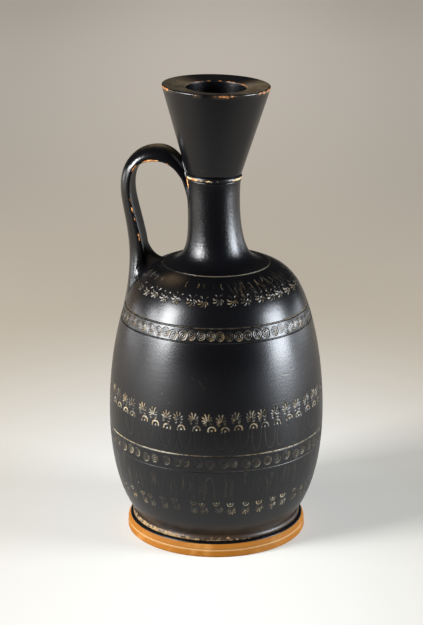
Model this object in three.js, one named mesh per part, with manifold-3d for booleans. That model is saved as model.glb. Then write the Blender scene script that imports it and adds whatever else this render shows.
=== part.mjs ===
// Lekythos: a black-gloss oil bottle with one strap handle, thrown and turned in separate clay pieces
// that are luted together with slip before firing. Millimetres, +Z up. The axis of turning is Z,
// the foot rests on Z = 0 and the handle stands towards -X.

import * as THREE from 'three';
import { mergeVertices } from 'three/addons/utils/BufferGeometryUtils.js';
import Module from 'manifold-3d';

// Foot: a turned ring, hollow underneath
const footRadius = 39.5;
const footHeight = 6.5;
const footRestInnerRadius = 32;
const footSeatInnerRadius = 27;
const footEdgeRound = 0.8;
const footGrooveHeight = 3.3;
const footGrooveWidth = 1.2;
const footGrooveDepth = 0.5;

// Body: heights are above the foot's seat
const bodyHeight = 114.7;
const baseRadius = 33.6;
const bellyRadius = 47.1;
const bellyHeight = 47.5;
const shoulderRadius = 39.7;
const shoulderHeight = 97.8;
const shoulderLean = 18.6;
const bodyWall = 4.6;
const floorThickness = 4.5;
const floorDome = 1.6;
const shoulderHoleRadius = 9.2;
const bandGrooveDrop = 6.1;
const bellyGrooveDrop = 4.1;
const bodyGrooveWidth = 0.9;
const bodyGrooveDepth = 0.4;

// Neck: heights are above its own lower face
const neckHeight = 37.6;
const neckFlangeRadius = 23.2;
const neckFlangeEdge = 0.4;
const waistRadius = 10.6;
const waistHeight = 27;
const neckTopRadius = 11.8;
const neckBoreRadius = 6.4;
const neckBoreFlare = 7;

// Mouth: a cone with a broad rim that slopes in to the hole
const mouthHeight = 38.9;
const rimRadius = 23.5;
const rimRound = 0.7;
const rimDip = 1;
const lipHoleRadius = 13.1;
const lipRound = 0.6;

// Handle: distances out from the axis, and heights above the mouth's lower end
const strapWidth = 11.5;
const strapThickness = 4.2;
const strapCrestThickening = 1.7;
const strapCrestLength = 13;
const strapRootThickening = 4.7;
const strapRootLength = 65;
const handleApexReach = 25.1;
const handleApexHeight = 8.2;
const handleReach = 39.6;
const handleReachDrop = 7.7;
const handleRootReach = 36.5;
const handleRootDepth = 12;

// Luting clay, and the slip between faces that aren't flat
const beadHeight = 2.9;
const beadWidth = 3;
const neckLutingThickness = 0.8;
const ridgeHeight = 2;
const ridgeProud = 0.4;
const topCollarReach = 9;
const topCollarSpread = 3.8;
const topCollarWiden = 1.2;
const rootCollarReach = 9;
const rootCollarSpread = 1.4;
const rootCollarWiden = 2.6;
const collarLip = 0.6;
const slipGap = 0.3;

// Fullness of the curves: how far a curve's handles run, as shares of the stretch that it shapes
const lowerFullness = { out: 0.67, up: 0.17, belly: 0.43 };
const upperFullness = { belly: 0.36, shoulder: 0.3 };
const crownFullness = { shoulder: 0.52, out: 0.55, down: 0.135 };
const flareFullness = { out: 0.32, up: 0.05, waist: 0.72 };
const neckTopFullness = { waist: 0.3, out: 0.47, up: 0.75 };
const boreFullness = 0.4;
const funnelFullness = { lip: 0.4, throat: 0.3 };
const floorFullness = { corner: 0.8, flat: 1.6 };
const beadFullness = { out: 0.2, down: 0.4 };
const footHollowFullness = 0.8;
const loopFullness = {
  neck: 0.94, rise: 0.86, apex: 0.65, crest: 0.32, outside: 0.86, drop: 0.2, root: 0.46,
};
const loopStart = { out: 0.4, down: 1.5 };
const loopTuck = 1.44;

// Facets
const turnSteps = 48;
const strapSteps = 30;
const strapSides = 16;
const collarSteps = 12;
const strapSquareness = { outside: 3, inside: 6 };
const collarSquareness = { outside: 3, inside: 3 };
const outerSteps = 7;
const innerSteps = 4;
const flareSteps = 10;
const roundSteps = 3;
const spanSamples = 400;
const leastStep = 0.000001;

// Heights of the joints, from the foot up
const footSeatZ = footHeight;
const bellyZ = footSeatZ + bellyHeight;
const shoulderZ = footSeatZ + shoulderHeight;
const neckSeatZ = footSeatZ + bodyHeight;
const neckBottomZ = neckSeatZ + neckLutingThickness;
const neckTopZ = neckBottomZ + neckHeight;
const mouthBottomZ = neckTopZ + ridgeHeight;
const rimZ = mouthBottomZ + mouthHeight;

const wasm = await Module();
wasm.setup();

const glossBlack = { color: 0x16140f, roughness: 0.28, metalness: 0 };
const bareClay = { color: 0xc98a52, roughness: 0.8, metalness: 0 };
const lutingClay = { color: 0x6a4a32, roughness: 0.6, metalness: 0 };

function cubic(start, startHandle, endHandle, end, steps) {
  const corners = [start, startHandle, endHandle, end].map(([x, y]) => new THREE.Vector2(x, y));
  return new THREE.CubicBezierCurve(...corners).getPoints(steps);
}

function rounded(from, corner, to, steps) {
  const corners = [from, corner, to].map(([x, y]) => new THREE.Vector2(x, y));
  return new THREE.QuadraticBezierCurve(...corners).getPoints(steps);
}

function at(radius, height) {
  return new THREE.Vector2(radius, height);
}

// Drops points that repeat the one before them
function chain(...stretches) {
  const points = stretches.flat();
  return points.filter((point, index) => index === 0 || point.distanceTo(points[index - 1]) > leastStep);
}

// Moves an outline sideways, to its left if the distance is positive
function offsetOutline(points, distance) {
  return points.map((point, index) => {
    const before = points[Math.max(index - 1, 0)];
    const after = points[Math.min(index + 1, points.length - 1)];
    const along = after.clone().sub(before).normalize();
    return at(point.x - along.y * distance, point.y + along.x * distance);
  });
}

// The point of a rising outline at a given height
function pointAtHeight(points, height) {
  const upper = Math.max(points.findIndex((point) => point.y > height), 1);
  const [above, below] = [points[upper], points[upper - 1]];
  return below.clone().lerp(above, (height - below.y) / (above.y - below.y));
}

// Cuts one turned groove into a rising outline, a V with both lips on it
function cutGroove(points, height) {
  const lower = pointAtHeight(points, height - bodyGrooveWidth / 2);
  const upper = pointAtHeight(points, height + bodyGrooveWidth / 2);
  const [, bottom] = offsetOutline([lower, lower.clone().lerp(upper, 0.5), upper], bodyGrooveDepth);
  const below = points.filter((point) => point.y < lower.y);
  const above = points.filter((point) => point.y > upper.y);
  return [...below, lower, bottom, upper, ...above];
}

function turned(profile) {
  return new THREE.LatheGeometry(profile, turnSteps).rotateX(Math.PI / 2);
}

function turnedRing(profile) {
  return turned([...profile, profile[0].clone()]);
}

// Outer outlines, from the lower end up, as points of radius and height
function bodyOutline(steps = outerSteps) {
  const lean = THREE.MathUtils.degToRad(shoulderLean);
  const shoulder = at(shoulderRadius, shoulderZ);
  const uphill = at(-Math.sin(lean), Math.cos(lean));
  const shoulderHandle = (length) => shoulder.clone().addScaledVector(uphill, length).toArray();
  const belly = [bellyRadius, bellyZ];
  const edge = [neckFlangeRadius + slipGap, neckBottomZ];
  const rise = shoulderHeight - bellyHeight;
  const crown = bodyHeight + neckLutingThickness - shoulderHeight;
  const lower = cubic(
    [baseRadius, footSeatZ], lowerSwell(),
    [bellyRadius, bellyZ - lowerFullness.belly * bellyHeight], belly, steps);
  const upper = cubic(
    belly, [bellyRadius, bellyZ + upperFullness.belly * rise],
    shoulderHandle(-upperFullness.shoulder * rise), shoulder.toArray(), steps);
  const crownHandle = [
    THREE.MathUtils.lerp(edge[0], shoulderRadius, crownFullness.out),
    neckBottomZ - crownFullness.down * crown];
  const top = cubic(
    shoulder.toArray(), shoulderHandle(crownFullness.shoulder * crown), crownHandle, edge, steps);
  return { lower, upper, top, all: chain(lower, upper, top) };
}

function lowerSwell() {
  const swellRadius = THREE.MathUtils.lerp(baseRadius, bellyRadius, lowerFullness.out);
  return [swellRadius, footSeatZ + lowerFullness.up * bellyHeight];
}

function neckOutline() {
  const waistZ = neckBottomZ + waistHeight;
  const flange = [neckFlangeRadius - neckFlangeEdge, neckBottomZ + neckFlangeEdge];
  const flareHandle = [
    THREE.MathUtils.lerp(waistRadius, neckFlangeRadius, flareFullness.out),
    neckBottomZ + flareFullness.up * waistHeight];
  const above = neckTopZ - waistZ;
  const flare = cubic(
    flange, flareHandle, [waistRadius, waistZ - flareFullness.waist * waistHeight],
    [waistRadius, waistZ], flareSteps);
  const swellRadius = THREE.MathUtils.lerp(waistRadius, neckTopRadius, neckTopFullness.out);
  const top = cubic(
    [waistRadius, waistZ], [waistRadius, waistZ + neckTopFullness.waist * above],
    [swellRadius, waistZ + neckTopFullness.up * above], [neckTopRadius, neckTopZ], innerSteps);
  return chain([at(neckFlangeRadius, neckBottomZ)], flare, top);
}

function ridgeOutline() {
  const middle = [neckTopRadius + 2 * ridgeProud, (neckTopZ + mouthBottomZ) / 2];
  return rounded([neckTopRadius, neckTopZ], middle, [neckTopRadius, mouthBottomZ], innerSteps);
}

function mouthOutline() {
  const rim = rounded(
    [rimRadius - 0.3 * rimRound, rimZ - rimRound], [rimRadius, rimZ], [rimRadius - rimRound, rimZ],
    roundSteps);
  return chain([at(neckTopRadius, mouthBottomZ)], rim);
}

// Foot: the edge carries one turned groove, the underside is a hollow
function footGeometry() {
  const groove = [
    at(footRadius, footGrooveHeight - footGrooveWidth / 2),
    at(footRadius - footGrooveDepth, footGrooveHeight),
    at(footRadius, footGrooveHeight + footGrooveWidth / 2),
  ];
  const lowerEdge = rounded(
    [footRadius - footEdgeRound, 0], [footRadius, 0], [footRadius, footEdgeRound], roundSteps);
  const upperEdge = rounded(
    [footRadius, footHeight - footEdgeRound], [footRadius, footHeight],
    [footRadius - footEdgeRound, footHeight], roundSteps);
  const hollow = rounded(
    [footSeatInnerRadius, footSeatZ], [footRestInnerRadius, footHollowFullness * footSeatZ],
    [footRestInnerRadius, 0], innerSteps);
  return turnedRing(chain(lowerEdge, groove, upperEdge, hollow));
}

function footLutingGeometry() {
  const wall = offsetOutline(bodyOutline().lower, -slipGap);
  const topZ = footSeatZ + beadHeight;
  const climb = (topZ - wall[0].y) / (wall[1].y - wall[0].y);
  const top = wall[0].clone().lerp(wall[1], climb);
  const foot = wall[0].clone().lerp(wall[1], (footSeatZ - wall[0].y) / (wall[1].y - wall[0].y));
  const outer = [foot.x + beadWidth, footSeatZ];
  const swell = [outer[0] - beadFullness.out * beadWidth, topZ - beadFullness.down * beadHeight];
  const face = rounded(outer, swell, top.toArray(), innerSteps);
  return turnedRing(chain([foot], face));
}

function bodyGeometry() {
  const grooveHeights = [bellyZ - bellyGrooveDrop, shoulderZ - bandGrooveDrop, shoulderZ];
  const outer = grooveHeights.reduce(cutGroove, bodyOutline().all);
  const domeEdge = [at(0, footSeatZ + floorDome), at(footSeatInnerRadius - floorDome, footSeatZ)];
  const seat = [
    at(neckFlangeRadius + slipGap, neckSeatZ),
    at(shoulderHoleRadius, neckSeatZ),
    at(shoulderHoleRadius, neckSeatZ - bodyWall),
  ];
  const floorZ = footSeatZ + floorThickness;
  const plain = bodyOutline(innerSteps);
  const innerUpper = offsetOutline(chain(plain.upper, plain.top), bodyWall).reverse();
  const innerBelly = innerUpper.at(-1).toArray();
  const innerLower = cubic(
    innerBelly, [innerBelly[0], bellyZ - lowerFullness.belly * bellyHeight],
    [lowerSwell()[0] - floorFullness.corner * bodyWall, floorZ],
    [baseRadius - floorFullness.flat * bodyWall, floorZ], outerSteps);
  return turned(chain(domeEdge, outer, seat, innerUpper, innerLower, [at(0, floorZ)]));
}

function neckLutingGeometry() {
  const innerRadius = shoulderHoleRadius + neckLutingThickness;
  return turnedRing([
    at(innerRadius, neckSeatZ), at(neckFlangeRadius, neckSeatZ),
    at(neckFlangeRadius, neckBottomZ), at(innerRadius, neckBottomZ),
  ]);
}

function neckGeometry() {
  const flareZ = neckBottomZ + boreFullness * neckBoreFlare;
  const bore = cubic(
    [neckBoreRadius, neckBottomZ + neckBoreFlare], [neckBoreRadius, flareZ],
    [shoulderHoleRadius, flareZ], [shoulderHoleRadius, neckBottomZ], innerSteps);
  return turnedRing(chain(neckOutline(), [at(neckBoreRadius, neckTopZ)], bore));
}

function mouthLutingGeometry() {
  const innerRadius = neckBoreRadius + ridgeProud;
  return turnedRing(chain(ridgeOutline(), [at(innerRadius, mouthBottomZ), at(innerRadius, neckTopZ)]));
}

function mouthGeometry() {
  const lipZ = rimZ - rimDip;
  const lip = rounded(
    [lipHoleRadius + lipRound, lipZ], [lipHoleRadius, lipZ], [lipHoleRadius, lipZ - lipRound],
    roundSteps);
  const funnel = cubic(
    [lipHoleRadius, lipZ - lipRound], [lipHoleRadius, rimZ - funnelFullness.lip * mouthHeight],
    [neckBoreRadius, mouthBottomZ + funnelFullness.throat * mouthHeight],
    [neckBoreRadius, mouthBottomZ], outerSteps);
  return turnedRing(chain(mouthOutline(), lip, funnel));
}

// A closed shape becomes a solid that can be cut, and a cut solid becomes a geometry again
function toSolid(geometry) {
  const bare = geometry.clone();
  bare.deleteAttribute('normal');
  bare.deleteAttribute('uv');
  const merged = mergeVertices(bare);
  const corners = Array.from(merged.index.array);
  const triangles = [];
  for (let first = 0; first < corners.length; first += 3) {
    const [a, b, c] = corners.slice(first, first + 3);
    if (a !== b && b !== c && c !== a) triangles.push(a, b, c);
  }
  return new wasm.Manifold(new wasm.Mesh({
    numProp: 3,
    vertProperties: merged.attributes.position.array,
    triVerts: Uint32Array.from(triangles),
  }));
}

function toGeometry(solid) {
  const mesh = solid.getMesh();
  const geometry = new THREE.BufferGeometry();
  geometry.setAttribute('position', new THREE.BufferAttribute(mesh.vertProperties, 3));
  geometry.setIndex(new THREE.BufferAttribute(mesh.triVerts, 1));
  geometry.computeVertexNormals();
  return geometry;
}

// The whole pot as a filled solid, larger by the slip gap, which trims what is luted on to it
function vesselOutline() {
  return chain(bodyOutline().all, neckOutline(), ridgeOutline(), mouthOutline());
}

function vesselEnvelope() {
  const outline = offsetOutline(vesselOutline(), -slipGap);
  return toSolid(turned(chain([at(0, outline[0].y)], outline, [at(0, outline.at(-1).y)])));
}

// Height of the body's outer wall on the shoulder, at a given radius
function shoulderHeightAt(radius) {
  const outline = bodyOutline().all;
  const upper = outline.findIndex((point) => point.y > bellyZ && point.x < radius);
  const [above, below] = [outline[upper], outline[upper - 1]];
  return THREE.MathUtils.mapLinear(radius, below.x, above.x, below.y, above.y);
}

// Middle line of the strap: out of the neck, over the loop and down into the shoulder
function strapLine() {
  const out = (reach, height) => new THREE.Vector3(-reach, 0, height);
  const apexZ = mouthBottomZ + handleApexHeight;
  const reachZ = mouthBottomZ - handleReachDrop;
  const rootZ = shoulderHeightAt(handleRootReach) - handleRootDepth;
  const rise = apexZ - reachZ;
  const drop = reachZ - rootZ;
  const tuck = loopTuck * (handleReach - handleRootReach);
  const crest = THREE.MathUtils.lerp(handleApexReach, handleReach, loopFullness.crest);
  const line = new THREE.CurvePath();
  line.add(new THREE.CubicBezierCurve3(
    out(loopStart.out * neckTopRadius, apexZ - loopStart.down * neckTopRadius),
    out(loopFullness.neck * neckTopRadius, apexZ - loopFullness.rise * neckTopRadius),
    out(loopFullness.apex * handleApexReach, apexZ), out(handleApexReach, apexZ)));
  line.add(new THREE.CubicBezierCurve3(
    out(handleApexReach, apexZ), out(crest, apexZ),
    out(handleReach, reachZ + loopFullness.outside * rise), out(handleReach, reachZ)));
  line.add(new THREE.CubicBezierCurve3(
    out(handleReach, reachZ), out(handleReach, reachZ - loopFullness.drop * drop),
    out(handleRootReach - tuck, reachZ - loopFullness.root * drop), out(handleRootReach, rootZ)));
  return line;
}

// Lengths along the strap's line at which it leaves the neck and enters the shoulder
function strapSpan(line) {
  const outline = vesselOutline();
  const length = line.getLength();
  const places = Array.from({ length: spanSamples + 1 }, (_, index) => index / spanSamples);
  const outside = places.filter((place) => {
    const point = line.getPointAt(place);
    return -point.x > pointAtHeight(outline, point.z).x;
  });
  return { length, leaves: outside[0] * length, enters: outside.at(-1) * length };
}

// A strap section is a superellipse, with its own squareness on the outside and the inside of the loop
function strapRing(line, place, width, thickness, squareness) {
  const middle = line.getPointAt(place);
  const along = line.getTangentAt(place);
  const across = new THREE.Vector3(0, 1, 0);
  const outward = new THREE.Vector3().crossVectors(along, across);
  const soften = (value, power) => Math.sign(value) * Math.abs(value) ** power;
  return Array.from({ length: strapSides }, (_, side) => {
    const turn = (2 * Math.PI * (side + 0.5)) / strapSides;
    const power = 2 / (Math.sin(turn) > 0 ? squareness.outside : squareness.inside);
    return middle.clone()
      .addScaledVector(across, soften(Math.cos(turn), power) * width / 2)
      .addScaledVector(outward, soften(Math.sin(turn), power) * thickness / 2);
  });
}

// Skins rings of equal count and closes both ends
function loft(rings) {
  const sides = rings[0].length;
  const positions = rings.flat().flatMap((point) => point.toArray());
  const triangles = [];
  for (let ring = 0; ring + 1 < rings.length; ring += 1) {
    for (let side = 0; side < sides; side += 1) {
      const here = ring * sides + side;
      const beside = ring * sides + ((side + 1) % sides);
      triangles.push(here, beside, here + sides, beside, beside + sides, here + sides);
    }
  }
  const last = (rings.length - 1) * sides;
  for (let side = 1; side + 1 < sides; side += 1) {
    triangles.push(0, side + 1, side, last, last + side, last + side + 1);
  }
  const geometry = new THREE.BufferGeometry();
  geometry.setAttribute('position', new THREE.Float32BufferAttribute(positions, 3));
  geometry.setIndex(triangles);
  return geometry;
}

const envelope = vesselEnvelope();
const strap = strapLine();
const strapEnds = strapSpan(strap);

// 1 at either wall of the pot, falling to 0 at a given distance along the strap from it
function nearnessToWall(distance, reach) {
  const fromWall = Math.min(distance - strapEnds.leaves, strapEnds.enters - distance);
  return THREE.MathUtils.clamp(1 - fromWall / reach, 0, 1) ** 2;
}

// The strap thickens on the crest of the loop and towards its root
function strapThicknessAt(distance) {
  const fromCrest = Math.min(Math.abs(distance - strap.curves[0].getLength()) / strapCrestLength, 1);
  const fromRoot = Math.min((strapEnds.length - distance) / strapRootLength, 1);
  return strapThickness
    + strapCrestThickening * (1 - fromCrest ** 2) ** 2
    + strapRootThickening * (1 - fromRoot) ** 2;
}

function sweepStrap(start, end, steps, squareness, widenAt, thickenAt) {
  const rings = Array.from({ length: steps + 1 }, (_, step) => {
    const distance = THREE.MathUtils.lerp(start, end, step / steps);
    const width = strapWidth + 2 * widenAt(distance);
    const thickness = strapThicknessAt(distance) + 2 * thickenAt(distance);
    return strapRing(strap, distance / strapEnds.length, width, thickness, squareness);
  });
  return toSolid(loft(rings));
}

function strapSolid(grow) {
  return sweepStrap(0, strapEnds.length, strapSteps, strapSquareness, () => grow, () => grow);
}

function handleGeometry() {
  return toGeometry(strapSolid(0).subtract(envelope));
}

// 1 up to the shoulder, falling to 0 at the strap's buried end
function outOfShoulder(distance) {
  const buried = strapEnds.length - strapEnds.enters;
  return THREE.MathUtils.clamp((strapEnds.length - distance) / buried, 0, 1);
}

// Clay smoothed round an end of the strap: widest on the pot's wall, thin at its lip
function collarGeometry(reach, spread, widen, start, end) {
  const growAt = (most) => (distance) =>
    (collarLip + (most - collarLip) * nearnessToWall(distance, reach)) * outOfShoulder(distance);
  const widenAt = growAt(widen);
  const thickenAt = growAt(spread);
  const clay = sweepStrap(start, end, collarSteps, collarSquareness, widenAt, thickenAt);
  return toGeometry(clay.subtract(strapSolid(slipGap)).subtract(envelope));
}

function topCollarGeometry() {
  const end = strapEnds.leaves + topCollarReach;
  return collarGeometry(topCollarReach, topCollarSpread, topCollarWiden, 0, end);
}

function rootCollarGeometry() {
  const start = strapEnds.enters - rootCollarReach;
  return collarGeometry(rootCollarReach, rootCollarSpread, rootCollarWiden, start, strapEnds.length);
}

function piece(name, geometry, finish) {
  const mesh = new THREE.Mesh(geometry, new THREE.MeshStandardMaterial(finish));
  mesh.name = name;
  return mesh;
}

const lekythos = new THREE.Group();
lekythos.add(
  piece('foot', footGeometry(), bareClay),
  piece('foot_luting', footLutingGeometry(), lutingClay),
  piece('body', bodyGeometry(), glossBlack),
  piece('neck_luting', neckLutingGeometry(), lutingClay),
  piece('neck', neckGeometry(), glossBlack),
  piece('mouth_luting', mouthLutingGeometry(), lutingClay),
  piece('mouth', mouthGeometry(), glossBlack),
  piece('handle', handleGeometry(), glossBlack),
  piece('handle_top_luting', topCollarGeometry(), glossBlack),
  piece('handle_root_luting', rootCollarGeometry(), glossBlack),
);

export default lekythos;
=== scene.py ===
"""Looks of a black-gloss lekythos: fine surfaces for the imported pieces, finishes, floor, light and camera.

Shapes are worked out in millimetres, mostly as outlines of (radius, height) turned about +Z,
and written to meshes in metres. Angles round the pot are counted from the side that faces the camera.
"""

import math

import bpy
import numpy as np
from mathutils import Euler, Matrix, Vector


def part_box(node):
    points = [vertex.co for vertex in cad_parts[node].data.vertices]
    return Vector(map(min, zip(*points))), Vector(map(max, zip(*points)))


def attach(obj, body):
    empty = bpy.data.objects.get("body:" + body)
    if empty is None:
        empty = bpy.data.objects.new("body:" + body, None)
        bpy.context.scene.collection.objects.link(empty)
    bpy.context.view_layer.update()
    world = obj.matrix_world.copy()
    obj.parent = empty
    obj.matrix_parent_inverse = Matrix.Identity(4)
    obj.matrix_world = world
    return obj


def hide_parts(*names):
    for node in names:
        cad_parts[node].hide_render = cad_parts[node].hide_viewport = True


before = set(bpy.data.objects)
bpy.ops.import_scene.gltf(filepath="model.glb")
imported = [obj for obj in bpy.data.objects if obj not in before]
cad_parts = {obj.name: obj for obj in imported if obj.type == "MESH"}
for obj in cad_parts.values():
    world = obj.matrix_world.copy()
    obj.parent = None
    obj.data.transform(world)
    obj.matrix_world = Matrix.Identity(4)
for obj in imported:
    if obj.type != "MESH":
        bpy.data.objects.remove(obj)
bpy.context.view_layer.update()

MM = 0.001
TURN = 2 * math.pi
draw = np.random.default_rng(12)


def span(node):
    """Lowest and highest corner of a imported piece, in millimetres."""
    return [np.array(corner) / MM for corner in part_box(node)]


foot_high = span("foot")[1]
bead_low, bead_high = span("foot_luting")
body_high = span("body")[1]
slip_low, slip_high = span("neck_luting")
neck_low, neck_high = span("neck")
ridge_low, ridge_high = span("mouth_luting")
mouth_low, mouth_high = span("mouth")
handle_low, handle_high = span("handle")

# View of the photograph
CAMERA_AZIMUTH = math.radians(12)
CAMERA_DISTANCE = 860
CAMERA_HEIGHT = 372
CAMERA_PITCH = math.radians(17.62)
CAMERA_YAW = math.radians(0.14)
LENS_LENGTH = 119

# Softboxes, in metres: name, azimuth from the camera's side, lower and upper edge, width, radiance and tint
SOFTBOX_DISTANCE = 1.1
SOFTBOX_AIM = (0, 0, 0.09)
COOL_TINT = (0.97, 0.98, 1)
BLUE_TINT = (0.86, 0.92, 1)
SOFTBOXES = (
    ("left softbox", -63, (0.22, 0.73), 0.38, 60, COOL_TINT),
    ("left side softbox", -84, (0.22, 0.44), 0.26, 30, COOL_TINT),
    ("left reflector", -68, (0.01, 0.25), 0.46, 8, COOL_TINT),
    ("left side reflector", -108, (0.01, 0.2), 0.6, 5, COOL_TINT),
    ("right reflector", 114, (0.01, 0.2), 0.7, 4.5, BLUE_TINT),
    ("right softbox", 77, (0.01, 0.52), 0.47, 43, BLUE_TINT),
)

# Round of the pot: the seam of every turned surface lies at the back
FRONT = CAMERA_AZIMUTH - TURN / 4
SEAM = FRONT + TURN / 2
FINE_COLUMNS = 1024
TURNED_COLUMNS = 256
HIDDEN_COLUMNS = 128

# Body wall, as corners of its three curves
BASE_RADIUS = 33.6
BASE_SWELL = (42.65, 14.6)
BELLY_HEIGHT = 54
BELLY_PULL_BELOW = 33.6
BELLY_PULL_ABOVE = 72
SHOULDER = (39.7, 104.3)
SHOULDER_PULL_BELOW = (44.6, 89.9)
SHOULDER_PULL_ABOVE = (36.8, 113)
CROWN_PULL = (32.5, 119.6)
CROWN_RADIUS = 23.5
WALL_THICKNESS = 4.6
FLOOR_THICKNESS = 4.5
FLOOR_DOME = 1.6
NECK_HOLE_RADIUS = 9.2
INNER_SHOULDER_RADIUS = 26
INNER_SHOULDER_DROP = 5.4
INNER_SHOULDER_PULL = (37, 108)
INNER_BELLY_PULLS = (80, 34)
INNER_FLOOR_PULL_RADIUS = 38
INNER_FLOOR_RADIUS = 26

# Foot and the bead over it
FOOT_ROUND = 0.8
FOOT_GROOVE_HEIGHT = 3.3
FOOT_SLOPE = (1, 0.8)
FOOT_SHELF = 2
HOLLOW_RADIUS = 32
HOLLOW_TOP_RADIUS = 27
HOLLOW_PULL_HEIGHT = 5.2
BEAD_HEIGHT = 2.9
BEAD_TOP_RADIUS = 34.9

# Neck and mouth
FLANGE_EDGE = 0.4
FLARE_PULL = (13.9, 122.9)
WAIST_RADIUS = 11.25
WAIST_HEIGHT = 149
WAIST_PULL_BELOW = 128.4
WAIST_PULL_ABOVE = 152.2
NECK_TOP_RADIUS = 11.8
NECK_TOP_PULL = (11.16, 157)
BORE_RADIUS = 6.4
RIM_ROUND = 0.95
RIM_DIP = 1
LIP_RADIUS = 13.1
LIP_ROUND = 0.6
NECK_LEAN = -1.1
MOUTH_TILT = math.radians(1.5)
TILT_START = 4
LEAN_REACH = 10
THROAT_PULLS = (15, 11.5)

# Strap of the handle: reach out from the axis, towards -X, and height
STRAP_THICKNESS = 5.3
CREST_THICKENING = 1.7
CREST_LENGTH = 13
ROOT_THICKENING = 6.9
ROOT_LENGTH = 65
ROOT_ROUNDING = (32, 14)
LOOP_START = (4.7, 17.7)
LOOP_START_PULL = (11.1, 10.15)
LOOP_TOP_REACH = 25.1
LOOP_TOP_PULLS = (16.35, 29.75)
LOOP_SIDE_HEIGHT = 153.9
LOOP_SIDE_PULLS = (167.6, 143.1)
ROOT = (35.5, 99.6)
ROOT_PULL = (31.4, 128.7)
STRAP_BURIED = 8.3
STRAP_ROWS = 360
STRAP_SIDES = 64
ROOT_WIDENING = 0.5
OUTER_SHARE = 0.84
OUTER_FULLNESS = 1.8
INNER_FULLNESS = 4

# Smears round the strap's ends: rows, and how far their start and their hidden ring are drawn in
SMEAR_ROWS = 13
SMEAR_SINK = 0.05
SMEAR_HEART = 0.45
SMEAR_BURIED = (1.2, 0.72)

# Bands of ornament: stamps in a round, their height, and the angle of the first from the front
SHOULDER_FANS = {"count": 36, "height": 115.2, "first": 1.8}
UPPER_VOLUTES = {"count": 63, "height": 101.1, "first": 2.1}
MIDDLE_PALMETTES = {"count": 48, "height": 65.2, "first": 2.9}
LOWER_VOLUTES = {"count": 58, "height": 46.2, "first": -2.9}
LOWER_PALMETTES = {"count": 44, "height": 24.2, "first": 1.5}
SHOULDER_ARCS = {"count": 48, "height": 119.6, "first": -1.2}

# Turned grooves: height, depth, width, pale deposit all round, and places with more of it
GROOVES = (
    (104.3, 0.36, 0.24, 0.14, ((70, 30, 0.4),)),
    (98.2, 0.26, 0.22, 0.01, ((60, 20, 0.1),)),
    (49.9, 0.34, 0.22, 0.28, ((-50, 30, 0.6), (52, 34, 0.6))),
    (42.5, 0.12, 0.22, 0.0, ((35, 34, 0.09),)),
)

# Scratches: angle, height, turn, length and pale deposit
SCRATCHES = (
    (41.5, 82, 80, 5.2, 0.55),
    (46, 83.6, 82, 2.5, 0.3),
    (-8.4, 81.4, 42, 5.5, 0.12),
    (-12.5, 83.4, 50, 3, 0.06),
    (-30, 76, 0, 0.7, 0.6),
    (-26, 72, 20, 0.5, 0.6),
    (6, 109, 40, 0.5, 0.6),
)

# Tongues under the palmettes: the band, the height they hang from, their turn and their drop
TONGUES = ((MIDDLE_PALMETTES, 61, 3, 9), (LOWER_PALMETTES, 29, 180, 12))
STREAKS = 50
RUBS = 90

# Rows of the wall: bands where they are close, their spacing, and depths pressed into it
STAMPED_BANDS = ((18.5, 29), (42.9, 61.5), (60.8, 72.5), (80, 84.2), (98.3, 104), (111.4, 121.6))
ARC_BAND = (29, 42)
STAMP_DEPTH = 0.3
ARC_DEPTH = 0.055
STAMP_STEP = 0.26
ARC_STEP = 0.45
GROOVE_STEP = 0.12
GROOVE_REACH = 0.7
PLAIN_STEP = 1.4
EDGE_SOFTNESS = 0.14


# Outlines and rings

def curve(*corners, steps=24):
    """Points of the Bezier curve with these corners."""
    places = np.linspace(0, 1, steps + 1)[:, None]
    points = [np.array([corner], float) for corner in corners]
    while len(points) > 1:
        points = [a + (b - a) * places for a, b in zip(points, points[1:])]
    return points[0]


def joined(*stretches):
    """One outline from several stretches, without points that repeat."""
    points = np.vstack([np.atleast_2d(np.array(stretch, float)) for stretch in stretches])
    steps = np.linalg.norm(np.diff(points, axis=0), axis=1)
    return points[np.r_[True, steps > 1e-6]]


def lengths(points):
    """Distance of each point along its outline."""
    return np.r_[0, np.cumsum(np.linalg.norm(np.diff(points, axis=0), axis=1))]


def at_length(points, places):
    """Points of an outline at given distances along it."""
    along = lengths(points)
    return np.column_stack([np.interp(places, along, points[:, axis]) for axis in range(points.shape[1])])


def respaced(outline, step_at, fine=0.02):
    """The outline with rows spaced by a function of their height."""
    places = np.arange(0, lengths(outline)[-1], fine)
    heights = at_length(outline, places)[:, 1]
    rows = np.cumsum(fine / step_at(heights))
    wanted = np.linspace(rows[0], rows[-1], int(rows[-1]) + 1)
    return joined(at_length(outline, np.interp(wanted, rows, places)), outline[-1])


def round_angles(columns):
    """Angles of the columns of a turned surface, from the seam on."""
    return SEAM + np.arange(columns) * TURN / columns


def turned_ring(radius, height, columns):
    """Points of one turned ring. A single column gives one point, on the axis."""
    if columns == 1:
        return np.array([[0, 0, height]])
    angles = round_angles(columns)
    return np.column_stack([radius * np.cos(angles), radius * np.sin(angles), np.full(columns, height)])


# Meshes

def link_rings(lower, upper):
    """Faces between two rings, each given as first point, count of points and place up the pattern."""
    (low, low_count, low_v), (high, high_count, high_v) = lower, upper
    if low_count > high_count:
        return narrow_rings(lower, upper)
    if low_count < high_count:
        return [(faces[:, ::-1], places[:, ::-1]) for faces, places in narrow_rings(upper, lower)]
    here = np.arange(low_count)
    after = (here + 1) % low_count
    left, right = here / low_count, (here + 1) / low_count
    faces = np.column_stack([low + here, low + after, high + after, high + here])
    across = np.column_stack([left, right, right, left])
    return [patterned(faces, across, (low_v, low_v, high_v, high_v))]


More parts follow.
